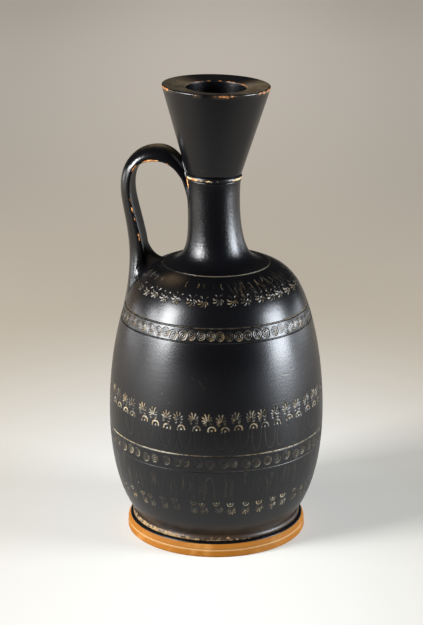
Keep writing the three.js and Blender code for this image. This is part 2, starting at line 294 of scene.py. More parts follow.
def narrow_rings(wide, narrow):
    """Faces from a fine ring to a single point, or to a ring whose count divides the fine one's."""
    (fine, count, fine_v), (coarse, few, coarse_v) = wide, narrow
    here = np.arange(count)
    after = (here + 1) % count
    left, right = here / count, (here + 1) / count
    if few == 1:
        faces = np.column_stack([fine + here, fine + after, np.full(count, coarse)])
        across = np.column_stack([left, right, (left + right) / 2])
        return [patterned(faces, across, (fine_v, fine_v, coarse_v))]
    ratio = count // few
    nearest = (here + ratio // 2) // ratio
    part = np.arange(few)
    middle = part * ratio + (ratio - 1) // 2 + 1 - ratio % 2
    fan = np.column_stack([fine + here, fine + after, coarse + nearest % few])
    gap = np.column_stack([fine + middle, coarse + (part + 1) % few, coarse + part])
    return [
        patterned(fan, np.column_stack([left, right, nearest / few]), (fine_v, fine_v, coarse_v)),
        patterned(gap, np.column_stack([middle / count, (part + 1) / few, part / few]),
                  (fine_v, coarse_v, coarse_v))]


def patterned(faces, across, heights):
    """Faces with the place of each corner on the flat pattern."""
    up = np.broadcast_to(np.array(heights, float), across.shape)
    return faces, np.stack([across, up], -1)


def enclosed_volume(points, patches):
    """Six times the signed volume inside closed patches of faces."""
    total = 0.0
    for faces, _ in patches:
        for corner in range(1, faces.shape[1] - 1):
            a, b, c = points[faces[:, 0]], points[faces[:, corner]], points[faces[:, corner + 1]]
            total += np.einsum("ij,ij->", a, np.cross(b, c))
    return total


def mesh_piece(name, points, patches, marks):
    """A smooth mesh object with its flat pattern and its painted marks."""
    if enclosed_volume(points, patches) < 0:
        patches = [(faces[:, ::-1], places[:, ::-1]) for faces, places in patches]
    corners = np.concatenate([faces.ravel() for faces, _ in patches])
    places = np.concatenate([places.reshape(-1, 2) for _, places in patches])
    sizes = np.concatenate([np.full(len(faces), faces.shape[1]) for faces, _ in patches])
    mesh = bpy.data.meshes.new(name)
    mesh.vertices.add(len(points))
    mesh.vertices.foreach_set("co", (points * MM).astype(np.float32).ravel())
    mesh.loops.add(len(corners))
    mesh.loops.foreach_set("vertex_index", corners.astype(np.int32))
    mesh.polygons.add(len(sizes))
    mesh.polygons.foreach_set("loop_start", (np.cumsum(sizes) - sizes).astype(np.int32))
    mesh.polygons.foreach_set("use_smooth", np.ones(len(sizes), bool))
    mesh.update(calc_edges=True)
    pattern = mesh.uv_layers.new(name="OFBake")
    pattern.uv.foreach_set("vector", places.astype(np.float32).ravel())
    for mark, values in marks.items():
        layer = mesh.attributes.new(mark, "FLOAT", "POINT")
        layer.data.foreach_set("value", np.broadcast_to(values, len(points)).astype(np.float32))
    mesh.validate()
    piece = bpy.data.objects.new(name, mesh)
    bpy.context.collection.objects.link(piece)
    return piece


def turned_patches(outline, columns, closed, pattern_weight=None):
    """Faces of a turned surface, row by row; a closed outline links its last row to its first."""
    rows = len(outline)
    weight = np.ones(rows) if pattern_weight is None else pattern_weight
    ends = outline[np.r_[1:rows, 0]] if closed else outline[1:]
    steps = np.linalg.norm(ends - outline[:len(ends)], axis=1) * weight[:len(ends)]
    up = np.r_[0, np.cumsum(steps)] / steps.sum()
    first = np.cumsum(columns) - columns
    patches = []
    for row in range(len(ends)):
        above = (row + 1) % rows
        patches += link_rings(
            (first[row], columns[row], up[row]), (first[above], columns[above], up[row + 1]))
    return patches


def turned_points(outline, columns):
    """Points of a turned surface, ring after ring."""
    return np.vstack([turned_ring(radius, height, count)
                      for (radius, height), count in zip(outline, columns)])


def turned_piece(name, outline, marks_at, shaped=None):
    """A turned ring with a closed outline. marks_at takes radius, height and angle from the front."""
    columns = np.full(len(outline), TURNED_COLUMNS)
    points = turned_points(outline, columns)
    marks = marks_at(np.hypot(points[:, 0], points[:, 1]), points[:, 2], front_angle(points))
    if shaped is not None:
        points = shaped(points)
    return mesh_piece(name, points, turned_patches(outline, columns, True), marks)


def front_angle(points):
    """Angle of each point from the camera's side, in degrees, more to the right."""
    angles = np.arctan2(points[:, 1], points[:, 0]) - FRONT
    return np.degrees((angles + math.pi) % TURN - math.pi)


def bump_at(angle, *places):
    """Sum of soft bumps round the pot, each given as (angle, half width, strength) in degrees."""
    total = np.zeros_like(angle)
    for middle, half_width, strength in places:
        gap = (angle - middle + 180) % 360 - 180
        total += strength * np.exp(-(gap / half_width) ** 4)
    return total


def near(values, middle, half_width):
    """1 at the middle, falling softly to 0."""
    return np.exp(-((values - middle) / half_width) ** 2)


def rise(values, low, high):
    """0 up to low, 1 from high on, smooth between."""
    share = np.clip((values - low) / (high - low), 0, 1)
    return share * share * (3 - 2 * share)


# Outlines of the pieces

def wall_outline():
    steps = 300
    belly = (body_high[0], BELLY_HEIGHT)
    lower = curve((BASE_RADIUS, foot_high[2]), BASE_SWELL, (belly[0], BELLY_PULL_BELOW), belly, steps=steps)
    upper = curve(belly, (belly[0], BELLY_PULL_ABOVE), SHOULDER_PULL_BELOW, SHOULDER, steps=steps)
    crown = curve(SHOULDER, SHOULDER_PULL_ABOVE, CROWN_PULL, (CROWN_RADIUS, body_high[2]), steps=steps)
    return joined(lower, upper, crown)


def inner_outline():
    """Inside of the body, from the crown through the neck's hole to the middle of the floor."""
    crown = slip_low[2]
    roof = crown - WALL_THICKNESS
    floor = foot_high[2] + FLOOR_THICKNESS
    belly = (body_high[0] - WALL_THICKNESS, BELLY_HEIGHT)
    shoulder = (INNER_SHOULDER_RADIUS, crown - INNER_SHOULDER_DROP)
    pull_above, pull_below = INNER_BELLY_PULLS
    hole = NECK_HOLE_RADIUS
    top = curve((hole, crown), (hole, roof), (hole + 2, roof), shoulder, steps=8)
    side = curve(shoulder, INNER_SHOULDER_PULL, (belly[0], pull_above), belly, steps=14)
    low = curve(
        belly, (belly[0], pull_below), (INNER_FLOOR_PULL_RADIUS, floor), (INNER_FLOOR_RADIUS, floor),
        steps=14)
    return joined((CROWN_RADIUS - 0.1, crown), top, side, low, (0, floor))


def foot_outline():
    outer, top = foot_high[0], foot_high[2]
    groove = FOOT_GROOVE_HEIGHT
    face = outer - 0.1
    slope_end = (outer - FOOT_SLOPE[0], top - FOOT_SLOPE[1])
    shelf_end = (outer - FOOT_SHELF, top)
    edge = curve((outer - FOOT_ROUND, 0), (outer, 0), (outer, FOOT_ROUND), steps=5)
    lower_band = curve((outer, FOOT_ROUND), (outer, 2 * FOOT_ROUND), (face, groove - 0.6), steps=5)
    cut = curve((face, groove - 0.5), (outer - 0.75, groove), (face, groove + 0.5), steps=7)
    upper_band = curve((face, groove + 0.6), (outer - 0.3, groove + 1.6), slope_end, steps=5)
    shelf = curve(slope_end, (outer - 1.3, top), shelf_end, steps=6)
    seat = np.linspace(shelf_end, (HOLLOW_TOP_RADIUS, top), 12)
    hollow = curve(
        (HOLLOW_TOP_RADIUS, top), (HOLLOW_RADIUS, HOLLOW_PULL_HEIGHT), (HOLLOW_RADIUS, 0), steps=8)
    rest = np.linspace((HOLLOW_RADIUS, 0), (outer - FOOT_ROUND, 0), 5)[:-1]
    return joined(edge, lower_band, cut, upper_band, shelf, seat, hollow, rest)[:-1]


def neck_outline():
    flange = (neck_high[0] - FLANGE_EDGE, neck_low[2] + FLANGE_EDGE)
    waist = (WAIST_RADIUS, WAIST_HEIGHT)
    flare = curve(flange, FLARE_PULL, (WAIST_RADIUS, WAIST_PULL_BELOW), waist, steps=56)
    end = (NECK_TOP_RADIUS, neck_high[2])
    top = curve(waist, (WAIST_RADIUS, WAIST_PULL_ABOVE), NECK_TOP_PULL, end, steps=16)
    return joined((neck_high[0], neck_low[2]), flare, top)


def ridge_outline():
    proud = ridge_high[0] - NECK_TOP_RADIUS
    middle = (NECK_TOP_RADIUS + 2 * proud, (ridge_low[2] + ridge_high[2]) / 2)
    return curve((NECK_TOP_RADIUS, ridge_low[2]), middle, (NECK_TOP_RADIUS, ridge_high[2]), steps=10)


def rim_height():
    """Height of the rim's middle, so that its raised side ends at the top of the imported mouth."""
    return mouth_high[2] - mouth_high[0] * math.sin(MOUTH_TILT)


def mouth_outline():
    rim = rim_height()
    radius = mouth_high[0]
    cone = np.linspace((NECK_TOP_RADIUS, mouth_low[2]), (radius - 0.3 * RIM_ROUND, rim - RIM_ROUND), 30)
    edge = curve(cone[-1], (radius, rim), (radius - RIM_ROUND, rim - 0.05), steps=6)
    return joined(cone, edge)


def vessel_outline():
    """Outer outline of the whole pot, from the foot's seat to the rim."""
    return joined(wall_outline(), neck_outline(), ridge_outline(), mouth_outline())


# Lean of the neck and mouth, as thrown by hand

def leaned(points, weight=1.0):
    """Points moved with the neck's lean to the left and the mouth's tilt to the right."""
    right = np.array([math.cos(CAMERA_AZIMUTH), math.sin(CAMERA_AZIMUTH)])
    sideways = points[:, :2] @ right
    above = np.maximum(points[:, 2] - mouth_low[2], 0)
    turn = MOUTH_TILT * rise(points[:, 2], ridge_low[2] - TILT_START, ridge_high[2])
    shift = NECK_LEAN * rise(points[:, 2], neck_low[2], WAIST_HEIGHT) + above * np.sin(turn)
    moved = points.copy()
    moved[:, :2] += (shift * weight)[:, None] * right
    moved[:, 2] -= sideways * np.sin(turn) * weight
    return moved


# Ornament pressed into the wall: strokes of points, widths and a share of the pale deposit

def leaf(lean, inner, outer, width, deposit=1.0):
    """One club-shaped leaf of a fan: lean is its angle from upright in degrees."""
    share = np.linspace(0, 1, 6)
    angle = np.radians(lean) * (1 + 0.12 * share ** 2)
    reach = inner + (outer - inner) * share
    points = np.column_stack([reach * np.sin(angle), reach * np.cos(angle)])
    return points, width * np.array([0.4, 0.5, 0.7, 0.95, 1.1, 0.8]), deposit


def spiral(middle, inner, outer, start, end, width, deposit=1.0, squash=1.0):
    """An arc whose radius runs from inner to outer, with its angles in degrees."""
    share = np.linspace(0, 1, 6 + int(abs(end - start) / 18))
    angle = np.radians(start + (end - start) * share)
    reach = inner + (outer - inner) * share
    points = np.column_stack([
        middle[0] + squash * reach * np.cos(angle), middle[1] + reach * np.sin(angle)])
    return points, np.full(len(points), width), deposit


def dot(middle, radius, deposit=1.0):
    """A round point, as a very short stroke."""
    return np.array([middle, (middle[0] + 0.01, middle[1])]), np.full(2, 2 * radius), deposit


def palmette(size=1.0):
    """Upright fan of leaves over two volutes and an arch with a dot in it."""
    fan = []
    for lean in np.linspace(-78, 64, 7):
        reach = 1.7 + 2.15 * math.cos(math.radians(lean)) ** 2
        fan.append(leaf(lean, 0.75, reach, 0.34, 1.0 if lean < 20 else 0.3))
    volutes = [spiral((side * 1.1, -0.6), 0.2, 0.6, 90, 90 + side * 330, 0.24, 0.3) for side in (-1, 1)]
    arch = spiral((1.0, -3.7), 1.6, 1.6, -15, 195, 0.36)
    strokes = fan + volutes + [arch, dot((1.0, -3.75), 0.4)]
    return [(size * points, widths, deposit) for points, widths, deposit in strokes]


def pendant_fan():
    """Hanging fan of short leaves under two slanting strokes."""
    fan = [leaf(180 + lean, 1.0, 1.9 + 1.2 * math.cos(math.radians(lean)), 0.3)
           for lean in np.linspace(-66, 66, 5)]
    crown = spiral((0, 0), 0.85, 0.85, 200, 340, 0.36, 0.3)
    strokes = [leaf(side * 34, 1.0, 2.5, 0.5, 0.2) for side in (-1, 1)]
    return fan + [crown] + strokes


def volute():
    """Two leaning rings round a dot, fuller at their lower right, where more pale deposit also paints the
    lamps' glint on their edges.
    """
    rings = [spiral((0, 0), reach, reach, 20, 245, 0.26, 0.3, squash=0.9) for reach in (1.9, 1.05)]
    crescents = [spiral((0, 0), reach, reach, -115, 20, 0.34, deposit, squash=0.9)
                 for reach, deposit in ((1.9, 1.0), (1.05, 0.6))]
    return rings + crescents + [dot((0, 0), 0.26, 0.5)]


def hanging_arc(half_width, drop):
    """A tongue-shaped thread that hangs from two points on a level."""
    angle = np.linspace(0, math.pi, 17)
    points = np.column_stack([half_width * np.cos(angle), -drop * np.sin(angle) ** 0.8])
    return [(points, np.full(len(points), 0.5), 1.0)]


def bracket(length, bulge, width):
    """A short upright stroke, bowed to one side."""
    share = np.linspace(-1, 1, 7)
    points = np.column_stack([bulge * (1 - share ** 2), length / 2 * share])
    return [(points, width * (1 - 0.5 * share ** 4), 1.0)]


def pressed(across, up, strokes):
    """How far each place is pressed, 0 to 1, by strokes, and how much pale deposit stays in it."""
    mask = np.zeros(across.shape)
    pale = np.zeros(across.shape)
    for points, widths, deposit in strokes:
        kept = deposit * draw.uniform(0.3, 1.0)
        for start, end, width, next_width in zip(points, points[1:], widths, widths[1:]):
            run = end - start
            share = ((across - start[0]) * run[0] + (up - start[1]) * run[1]) / (run @ run)
            share = np.clip(share, 0, 1)
            gap = np.hypot(across - start[0] - share * run[0], up - start[1] - share * run[1])
            half = (width + (next_width - width) * share) / 2
            line = np.clip((half - gap) / EDGE_SOFTNESS + 0.5, 0, 1)
            mask = np.maximum(mask, line)
            pale = np.maximum(pale, line * kept)
    return mask, pale


class Wall:
    """The body's wall laid flat: rows up its outline, columns round it, and what is pressed into it."""

    def __init__(self, outline):
        self.outline = outline
        self.along = lengths(outline)
        self.angle = np.degrees((round_angles(FINE_COLUMNS) - FRONT + math.pi) % TURN - math.pi)
        self.depth = np.zeros((len(outline), FINE_COLUMNS))
        self.chalk = np.zeros((len(outline), FINE_COLUMNS))

    def press(self, strokes, angle, height, turn, depth, chalk, reach=6.5):
        """Presses one stamp, turned by an angle in degrees, with its middle at an angle and a height."""
        middle = np.interp(height, self.outline[:, 1], self.along)
        radius = np.interp(height, self.outline[:, 1], self.outline[:, 0])
        gap = (self.angle - angle + 180) % 360 - 180
        rows = np.flatnonzero(np.abs(self.along - middle) < reach)
        columns = np.flatnonzero(np.abs(np.radians(gap)) * radius < reach)
        across = np.radians(gap[columns])[None, :] * self.outline[rows, 0][:, None]
        up = np.broadcast_to((self.along[rows] - middle)[:, None], across.shape)
        lean = math.radians(turn)
        mask, pale = pressed(
            across * math.cos(lean) + up * math.sin(lean),
            up * math.cos(lean) - across * math.sin(lean), strokes)
        place = np.ix_(rows, columns)
        self.depth[place] = np.maximum(self.depth[place], depth * mask)
        self.chalk[place] = np.maximum(self.chalk[place], chalk * pale)

    def press_round(self, band, strokes, turn, depth, chalk_at, slip, rise_at=None):
        """Presses a round of stamps, each a little off its place as a hand sets them."""
        for index in range(band["count"]):
            angle = band["first"] + (index + draw.normal(0, slip)) * 360 / band["count"]
            angle = (angle + 180) % 360 - 180
            height = band["height"] + draw.normal(0, 0.3) + (rise_at(angle) if rise_at else 0)
            strength = np.clip(draw.normal(0.85, 0.15), 0.45, 1)
            chalk = chalk_at(angle) * draw.uniform(0.55, 1.0)
            self.press(strokes, angle, height, turn + draw.normal(0, 5), depth * strength, chalk)

    def turn_groove(self, height, depth, width, level, places):
        """Cuts a turned line round the wall, with a slow waver."""
        phase = draw.uniform(0, TURN)
        waver = 0.12 * np.sin(np.radians(self.angle) + phase) + 0.05 * np.sin(
            np.radians(3 * self.angle) + 2 * phase)
        middle = np.interp(height + waver, self.outline[:, 1], self.along)
        line = np.exp(-((self.along[:, None] - middle[None, :]) / width) ** 2)
        chalk = level + bump_at(self.angle, *places)
        chalk = chalk * (0.8 + 0.3 * np.sin(np.radians(7 * self.angle) + phase))
        self.depth = np.maximum(self.depth, depth * line)
        self.chalk = np.maximum(self.chalk, np.clip(chalk, 0, 1)[None, :] * line ** 2)

    def points(self):
        """Points of the wall, pushed in along its normal."""
        run = np.gradient(self.outline, self.along, axis=0)
        out = np.column_stack([run[:, 1], -run[:, 0]])
        out /= np.linalg.norm(out, axis=1)[:, None]
        radius = self.outline[:, 0][:, None] - self.depth * out[:, 0][:, None]
        height = self.outline[:, 1][:, None] - self.depth * out[:, 1][:, None]
        angles = round_angles(FINE_COLUMNS)[None, :]
        return np.stack([radius * np.cos(angles), radius * np.sin(angles), height], -1).reshape(-1, 3)


def wall_step(heights):
    """Spacing of the wall's rows: close where it is stamped, closest at the grooves."""
    step = np.full_like(heights, PLAIN_STEP)
    step[(heights > ARC_BAND[0]) & (heights < ARC_BAND[1])] = ARC_STEP
    for low, high in STAMPED_BANDS:
        step[(heights > low) & (heights < high)] = STAMP_STEP
    for height, *_ in GROOVES:
        step[np.abs(heights - height) < GROOVE_REACH] = GROOVE_STEP
    return step


def patchy(level, *places):
    """A strength round the pot: a level, and more at given places."""
    return lambda angle: level + float(bump_at(np.array(float(angle)), *places))


def ornamented_wall():
    wall = Wall(respaced(wall_outline(), wall_step))
    wall.press_round(SHOULDER_FANS, pendant_fan(), -6, STAMP_DEPTH, patchy(0.8, (-84, 24, -0.7)), 0.06)
    # More pale deposit to the left and right paints the softboxes' highlights into these stamps.
    wall.press_round(
        UPPER_VOLUTES, volute(), 10, 0.85 * STAMP_DEPTH, patchy(0.55, (-28, 22, 0.3), (48, 22, 0.3)), 0.05)
    wall.press_round(
        MIDDLE_PALMETTES, palmette(), 4, STAMP_DEPTH, patchy(1.0), 0.07,
        lambda angle: 1.8 * float(rise(abs(angle + 8), 12, 60)))
    wall.press_round(
        # More pale deposit to the left and right paints the softboxes' highlights into these stamps.
        LOWER_VOLUTES, volute(), 10, 0.6 * STAMP_DEPTH, patchy(0.2, (-52, 22, 0.5), (45, 30, 0.45)), 0.08)
    wall.press_round(
        LOWER_PALMETTES, palmette(0.78), 180, 0.7 * STAMP_DEPTH,
        patchy(0.22, (-58, 16, 0.5), (28, 34, 0.78), (160, 60, 0.4)), 0.09)
    press_threads(wall)
    for groove in GROOVES:
        wall.turn_groove(*groove)
    return wall


def press_threads(wall):
    """Scribed tongues under the palmettes, strokes on the shoulder, scratches and rubs."""
    for band, height, turn, drop in TONGUES:
        for index in range(band["count"]):
            angle = band["first"] + (index + 0.6 + draw.normal(0, 0.15)) * 360 / band["count"]
            tongue = hanging_arc(draw.uniform(1.8, 2.8), drop * draw.uniform(0.8, 1.1))
            pale = 0.034 if draw.random() < 0.3 else 0.014
            lean = turn + draw.normal(0, 6)
            wall.press(tongue, angle, height, lean, ARC_DEPTH, draw.uniform(0, pale), reach=15)
    for index in range(SHOULDER_ARCS["count"]):
        angle = SHOULDER_ARCS["first"] + (index + draw.normal(0, 0.15)) * 360 / SHOULDER_ARCS["count"]
        stroke = bracket(draw.uniform(1.8, 3.4), draw.choice([-0.5, 0.5]), 0.36)
        height = SHOULDER_ARCS["height"] + draw.normal(0, 0.25)
        wall.press(stroke, angle, height, draw.normal(0, 8), 1.6 * ARC_DEPTH, draw.uniform(0, 0.3), reach=4)
    for _ in range(STREAKS):
        streak = bracket(draw.uniform(3, 8), draw.normal(0, 0.3), 0.2)
        wall.press(
            streak, draw.uniform(12, 70), draw.uniform(115.5, 120), draw.normal(6, 8), 0.03,
            draw.uniform(0.03, 0.13), reach=7)
    for angle, height, turn, length, pale in SCRATCHES:
        wall.press(bracket(length, 0.1, 0.22), angle, height, turn, 0.05, pale, reach=5)
    for _ in range(RUBS):
        rub = bracket(draw.uniform(3, 10), draw.normal(0, 0.5), draw.uniform(0.5, 1.1))
        wall.press(
            rub, draw.uniform(-180, 180), draw.normal(35.5, 2.5), draw.normal(0, 5), 0.02,
            draw.uniform(0.01, 0.05), reach=7)


# Pieces

PLAIN_GLOSS = {"chalk": 0.0, "worn": 0.0, "browned": 0.0, "matt": 0.0, "dimpled": 0.2}
PLAIN_LUTING = {"chalk": 0.0, "worn": 0.0, "browned": 0.0}


def finish_piece(piece, node, material):
    """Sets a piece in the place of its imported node, with its finish."""
    piece.data.materials.append(material)
    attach(piece, "root")
    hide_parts(node)


def make_body():
    wall = ornamented_wall()
    seat = foot_high[2]
    under = np.array([(0, seat + FLOOR_DOME), (14, seat + 1.1), (25, seat + 0.05)])
    hidden = inner_outline()
    outline = np.vstack([under, wall.outline, hidden])
    columns = np.r_[
        1, np.full(len(under) - 1, HIDDEN_COLUMNS), np.full(len(wall.outline), FINE_COLUMNS),
        np.full(len(hidden) - 1, HIDDEN_COLUMNS), 1]
    weight = np.r_[np.full(len(under), 0.3), np.ones(len(wall.outline)), np.full(len(hidden), 0.15)]
    below = turned_points(under, columns[:len(under)])
    points = np.vstack([below, wall.points(), turned_points(hidden, columns[-len(hidden):])])
    chalk = np.zeros(len(points))
    chalk[len(below):len(below) + wall.chalk.size] = wall.chalk.ravel()
    patches = turned_patches(outline, columns, False, weight)
    return mesh_piece("body_wall", points, patches, body_marks(points, chalk))


def body_marks(points, chalk):
    """Brown over the foot and in two places on the left, and a duller slip below the shoulder."""
    angle = front_angle(points)
    height = points[:, 2]
    radius = np.hypot(points[:, 0], points[:, 1])
    browned = 0.35 * (1 - rise(height, 9, 17))
    browned += 0.38 * near(angle, -43, 12) * near(radius, 28, 3.4) * (height > 110)
    browned += 0.16 * near(angle, -70, 12) * near(height, 108, 9)
    matt = 0.02 + 0.08 * (1 - rise(height, 80, 94))
    return {**PLAIN_GLOSS, "chalk": chalk, "browned": np.clip(browned, 0, 1), "matt": matt, "dimpled": 0.13}


def make_foot():
    outer, top = foot_high[0], foot_high[2]

    def marks_at(radius, height, angle):
        slipped = (height > top - 0.6) & (radius < outer - 1.1)
        line = near(height, FOOT_GROOVE_HEIGHT, 0.34) * (radius > outer - 1)
        return {"slip": slipped.astype(float), "chalk": line}

    return turned_piece("foot_ring", foot_outline(), marks_at)


def make_bead():
    base = bead_low[2]
    outer = bead_high[0] + 0.2
    top = (BEAD_TOP_RADIUS, base + BEAD_HEIGHT)
    face = curve((outer - 0.3, base), (outer + 0.6, base + 1), (outer - 0.5, base + 2.8), top, steps=16)
    back = np.array([(33.9, base + 2.2), (33.4, base)])
    outline = joined(face, back)

    def marks_at(radius, height, angle):
        face_on = rise(height, base + 0.1, base + 0.7) * (1 - rise(height, base + 1.7, base + 2.5))
        lower_line = near(height, base + 0.35, 0.35)
        share = bump_at(angle, (-62, 36, 0.5), (-5, 30, 0.32), (170, 60, 0.4))
        return {**PLAIN_LUTING, "worn": face_on * share + 0.36 * lower_line, "browned": 0.85}

    return turned_piece("foot_bead", outline, marks_at)


def make_neck_slip():
    low, high = slip_low[2], slip_high[2]
    inner = 10
    flange = neck_high[0]
    bead = curve(
        (CROWN_RADIUS, high - 0.3), (CROWN_RADIUS + 0.1, high + 0.1), (flange - 0.1, high + 0.2), steps=8)
    outline = joined(
        (inner, low), (CROWN_RADIUS - 0.2, low), bead, (flange - 0.9, high + 0.15), (inner, high))

    def marks_at(radius, height, angle):
        bare = bump_at(angle, (18, 50, 0.1), (52, 26, 0.1), (170, 60, 0.1))
        warm = bump_at(angle, (-8, 36, 0.3))
        return {"worn": warm, "chalk": 0.01 + bare, "browned": 0.7 * near(angle, -8, 30)}

    return turned_piece("neck_slip_ring", outline, marks_at)


def make_neck():
    bore = curve(
        (BORE_RADIUS, neck_low[2] + 7), (BORE_RADIUS, neck_low[2] + 2.8),
        (NECK_HOLE_RADIUS, neck_low[2] + 2.8), (NECK_HOLE_RADIUS, neck_low[2]), steps=8)
    outline = joined(neck_outline(), (BORE_RADIUS, neck_high[2]), bore)

    def marks_at(radius, height, angle):
        return {**PLAIN_GLOSS, "dimpled": 0.6}

    return turned_piece("neck_tube", outline, marks_at, leaned)


def make_ridge():
    inner = BORE_RADIUS + 0.4
    outline = joined(ridge_outline(), (inner, ridge_high[2]), (inner, ridge_low[2]))

    def marks_at(radius, height, angle):
        crest = near(height, (ridge_low[2] + ridge_high[2]) / 2 - 0.1, 0.55)
        share = 0.3 + bump_at(angle, (-52, 26, 0.45), (-10, 6, 0.4), (64, 24, 0.4), (180, 60, 0.3))
        return {**PLAIN_LUTING, "worn": share * crest}

    return turned_piece("mouth_ridge", outline, marks_at, leaned)


def make_mouth():
    lip = rim_height() - RIM_DIP
    outer = mouth_outline()
    rim = np.linspace(outer[-1], (LIP_RADIUS + LIP_ROUND, lip), 12)
    edge = curve((LIP_RADIUS + LIP_ROUND, lip), (LIP_RADIUS, lip), (LIP_RADIUS, lip - LIP_ROUND), steps=6)
    throat = curve(
        (LIP_RADIUS, lip - LIP_ROUND), (LIP_RADIUS, lip - THROAT_PULLS[0]),
        (BORE_RADIUS, mouth_low[2] + THROAT_PULLS[1]), (BORE_RADIUS, mouth_low[2]), steps=24)
    outline = joined(outer, rim, edge, throat)

    def marks_at(radius, height, angle):
        on_edge = near(radius, mouth_high[0] - 0.1, 0.26) * (height > lip)
        edge_wear = on_edge * bump_at(
            angle, (-75, 24, 0.75), (-20, 5, 0.5), (12, 16, 0.7), (70, 24, 0.75), (140, 30, 0.6),
            (-150, 25, 0.5))
        on_lip = near(radius, LIP_RADIUS + 0.15, 0.24) * (height > lip - 0.4)
        lip_wear = on_lip * bump_at(angle, (115, 45, 0.55), (-130, 35, 0.4), (180, 40, 0.32))
        # Painted sheen: the rim's top is lighter brown, with a little pale, to its left and right, where the
        # softboxes reflect at a grazing angle.
        top = rise(-radius, 0.6 - mouth_high[0], 1.2 - mouth_high[0]) * (height > lip - 0.5)
        sides = bump_at(angle, (-88, 46, 1.1), (76, 44, 1.3), (0, 60, 0.35))
        return {
            "chalk": 0.11 * top * sides, "worn": np.maximum(edge_wear, lip_wear),
            "browned": np.clip(1.1 * top * sides + edge_wear, 0, 1), "matt": 0.12 * top - 0.08 * on_edge,
            "dimpled": 0.3}

    return turned_piece("mouth_cone", outline, marks_at, leaned)


def strap_line():
    """Middle line of the strap from the neck over the loop to the shoulder, as reach and height.

    Also gives how far along it the crest of the loop is.
    """
    top = handle_high[2] + 0.4 - (STRAP_THICKNESS + CREST_THICKENING) / 2
    side = 0.4 - handle_low[0] - STRAP_THICKNESS / 2
    apex = (LOOP_TOP_REACH, top)
    outside = (side, LOOP_SIDE_HEIGHT)
    start = (LOOP_START[0], top - LOOP_START[1])
    start_pull = (LOOP_START_PULL[0], top - LOOP_START_PULL[1])
    rising = curve(start, start_pull, (LOOP_TOP_PULLS[0], top), apex, steps=200)
    over = curve(apex, (LOOP_TOP_PULLS[1], top), (side, LOOP_SIDE_PULLS[0]), outside, steps=200)
    falling = curve(outside, (side, LOOP_SIDE_PULLS[1]), ROOT_PULL, ROOT, steps=200)
    rising = rising[rising[:, 0] > STRAP_BURIED]
    line = joined(rising, over, falling)
    return at_length(line, np.linspace(0, lengths(line)[-1], STRAP_ROWS)), lengths(rising)[-1]


def strap_grid():
    """Points of the strap's skin, rows along it and sides round it, with the place along it."""
    line, crest = strap_line()
    along = lengths(line)
    run = np.gradient(line, along, axis=0)
    run /= np.linalg.norm(run, axis=1)[:, None]
    out = np.column_stack([-run[:, 1], run[:, 0]])
    from_crest = np.clip(np.abs(along - crest) / CREST_LENGTH, 0, 1)
    from_root = np.clip((along[-1] - along) / ROOT_LENGTH, 0, 1)
    thickness = (STRAP_THICKNESS + CREST_THICKENING * (1 - from_crest ** 2) ** 2
                 + ROOT_THICKENING * (1 - from_root) ** 2)
    turn = np.arange(STRAP_SIDES) * TURN / STRAP_SIDES
    rounded = 1 - rise(along[-1] - along, ROOT_ROUNDING[1], ROOT_ROUNDING[0])[:, None]
    outer = np.sin(turn) > 0
    outer_share = OUTER_SHARE + (0.5 - OUTER_SHARE) * rounded
    power = 2 / np.where(outer, OUTER_FULLNESS, INNER_FULLNESS + (2.1 - INNER_FULLNESS) * rounded)
    across = np.sign(np.cos(turn)) * np.abs(np.cos(turn)) ** power
    across = across * (1 + ROOT_WIDENING * (1 - rise(along[-1] - along, 6, 28)))[:, None]
    outward = np.sign(np.sin(turn)) * np.abs(np.sin(turn)) ** power
    outward = 0.5 - outer_share + np.where(outer, outer_share, 1 - outer_share) * outward
    lift = thickness[:, None] * outward
    grid = np.empty((STRAP_ROWS, STRAP_SIDES, 3))
    grid[..., 0] = -(line[:, 0][:, None] + lift * out[:, 0][:, None])
    grid[..., 1] = handle_high[1] * across
    grid[..., 2] = line[:, 1][:, None] + lift * out[:, 1][:, None]
    return grid, along - crest, turn


def grid_patches(rows, sides, closed):
    """Faces of a grid that wraps round its sides, and round its rows where it is closed."""
    patches = []
    for row in range(rows if closed else rows - 1):
        above = (row + 1) % rows
        patches += link_rings((row * sides, sides, row / rows), (above * sides, sides, (row + 1) / rows))
    return patches


def wall_gap(points, outline):
    """How far points are outside a turned outline."""
    wall = np.interp(points[..., 2], outline[:, 1], outline[:, 0])
    return np.hypot(points[..., 0], points[..., 1]) - wall


def lean_with_wall(points):
    """Moves points of the handle with the neck and mouth, less the further they are from the wall."""
    gap = wall_gap(points, vessel_outline())
    return leaned(points, np.clip(1 - gap / LEAN_REACH, 0, 1))


